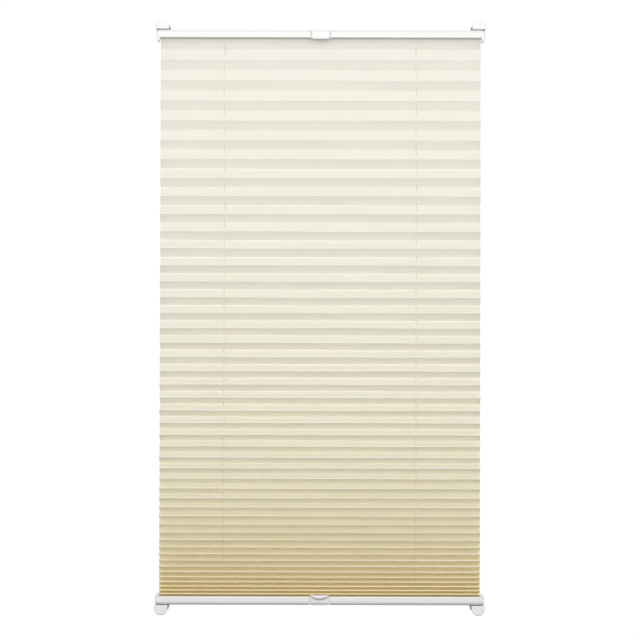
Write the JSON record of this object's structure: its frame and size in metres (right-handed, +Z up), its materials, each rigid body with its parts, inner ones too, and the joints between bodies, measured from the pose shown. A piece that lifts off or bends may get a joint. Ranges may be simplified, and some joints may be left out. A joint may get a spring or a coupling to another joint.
{
  "type": "pleated window blind",
  "caption": "Clamp-on pleated window blind: cream folded fabric between white rails that slide on tension cords.",
  "frame": {"origin": "centre of the overall box, halfway between the rails", "axes": "+Z up along the drop, +X to the right seen from the room, -Y into the room, +Y towards the window sash"},
  "size_m": [0.5632, 0.0693, 1.0168],
  "materials": {
    "pleat_fabric": "pleated polyester crepe, translucent, matt",
    "cord": "braided polyester cord",
    "rail": "white powder coat on extruded aluminium, satin",
    "moulding": "moulded white ABS, fine satin",
    "strip": "extruded white PVC",
    "guide": "moulded acetal, smooth",
    "bead": "crimped nickel-plated ferrule",
    "steel": "zinc plated",
    "pad": "matt grey rubber"
  },
  "bodies": {
    "sash_clamps": {"pleated_fabric": "pleat_fabric", "left_tension_cord": "cord", "right_tension_cord": "cord", "top_left_tension_shoe": "moulding", "top_left_cord_bead": "bead", "top_left_clamp_bracket": "moulding", "top_left_clamp_screw": "steel", "top_right_tension_shoe": "moulding", "top_right_cord_bead": "bead", "top_right_clamp_bracket": "moulding", "top_right_clamp_screw": "steel", "bottom_left_tension_shoe": "moulding", "bottom_left_cord_bead": "bead", "bottom_left_clamp_bracket": "moulding", "bottom_left_clamp_screw": "steel", "bottom_right_tension_shoe": "moulding", "bottom_right_cord_bead": "bead", "bottom_right_clamp_bracket": "moulding", "bottom_right_clamp_screw": "steel"},
    "top_rail_body": {"top_rail": "rail", "top_fabric_strip": "strip", "top_handle": "moulding", "top_left_end_cap": "moulding", "top_left_cord_guide": "guide", "top_right_end_cap": "moulding", "top_right_cord_guide": "guide"},
    "bottom_rail_body": {"bottom_rail": "rail", "bottom_fabric_strip": "strip", "bottom_handle": "moulding", "bottom_left_end_cap": "moulding", "bottom_left_cord_guide": "guide", "bottom_right_end_cap": "moulding", "bottom_right_cord_guide": "guide"},
    "top_left_jaw_body": {"top_left_clamp_jaw": "moulding", "top_left_jaw_pad": "pad", "top_left_jaw_nut": "steel"},
    "top_right_jaw_body": {"top_right_clamp_jaw": "moulding", "top_right_jaw_pad": "pad", "top_right_jaw_nut": "steel"},
    "bottom_left_jaw_body": {"bottom_left_clamp_jaw": "moulding", "bottom_left_jaw_pad": "pad", "bottom_left_jaw_nut": "steel"},
    "bottom_right_jaw_body": {"bottom_right_clamp_jaw": "moulding", "bottom_right_jaw_pad": "pad", "bottom_right_jaw_nut": "steel"}
  },
  "joints": [
    {"name": "top_rail_slide", "type": "slide", "parent": "sash_clamps", "child": "top_rail_body", "axis": [0, 0, 1], "range_m": [-0.44, 0], "deforming": ["pleated_fabric", "left_tension_cord", "right_tension_cord"]},
    {"name": "bottom_rail_slide", "type": "slide", "parent": "sash_clamps", "child": "bottom_rail_body", "axis": [0, 0, 1], "range_m": [0, 0.44], "deforming": ["pleated_fabric", "left_tension_cord", "right_tension_cord"]},
    {"name": "top_left_jaw_slide", "type": "slide", "parent": "sash_clamps", "child": "top_left_jaw_body", "axis": [0, 1, 0], "range_m": [-0.005, 0.005]},
    {"name": "top_right_jaw_slide", "type": "slide", "parent": "sash_clamps", "child": "top_right_jaw_body", "axis": [0, 1, 0], "range_m": [-0.005, 0.005]},
    {"name": "bottom_left_jaw_slide", "type": "slide", "parent": "sash_clamps", "child": "bottom_left_jaw_body", "axis": [0, 1, 0], "range_m": [-0.005, 0.005]},
    {"name": "bottom_right_jaw_slide", "type": "slide", "parent": "sash_clamps", "child": "bottom_right_jaw_body", "axis": [0, 1, 0], "range_m": [-0.005, 0.005]}
  ]
}
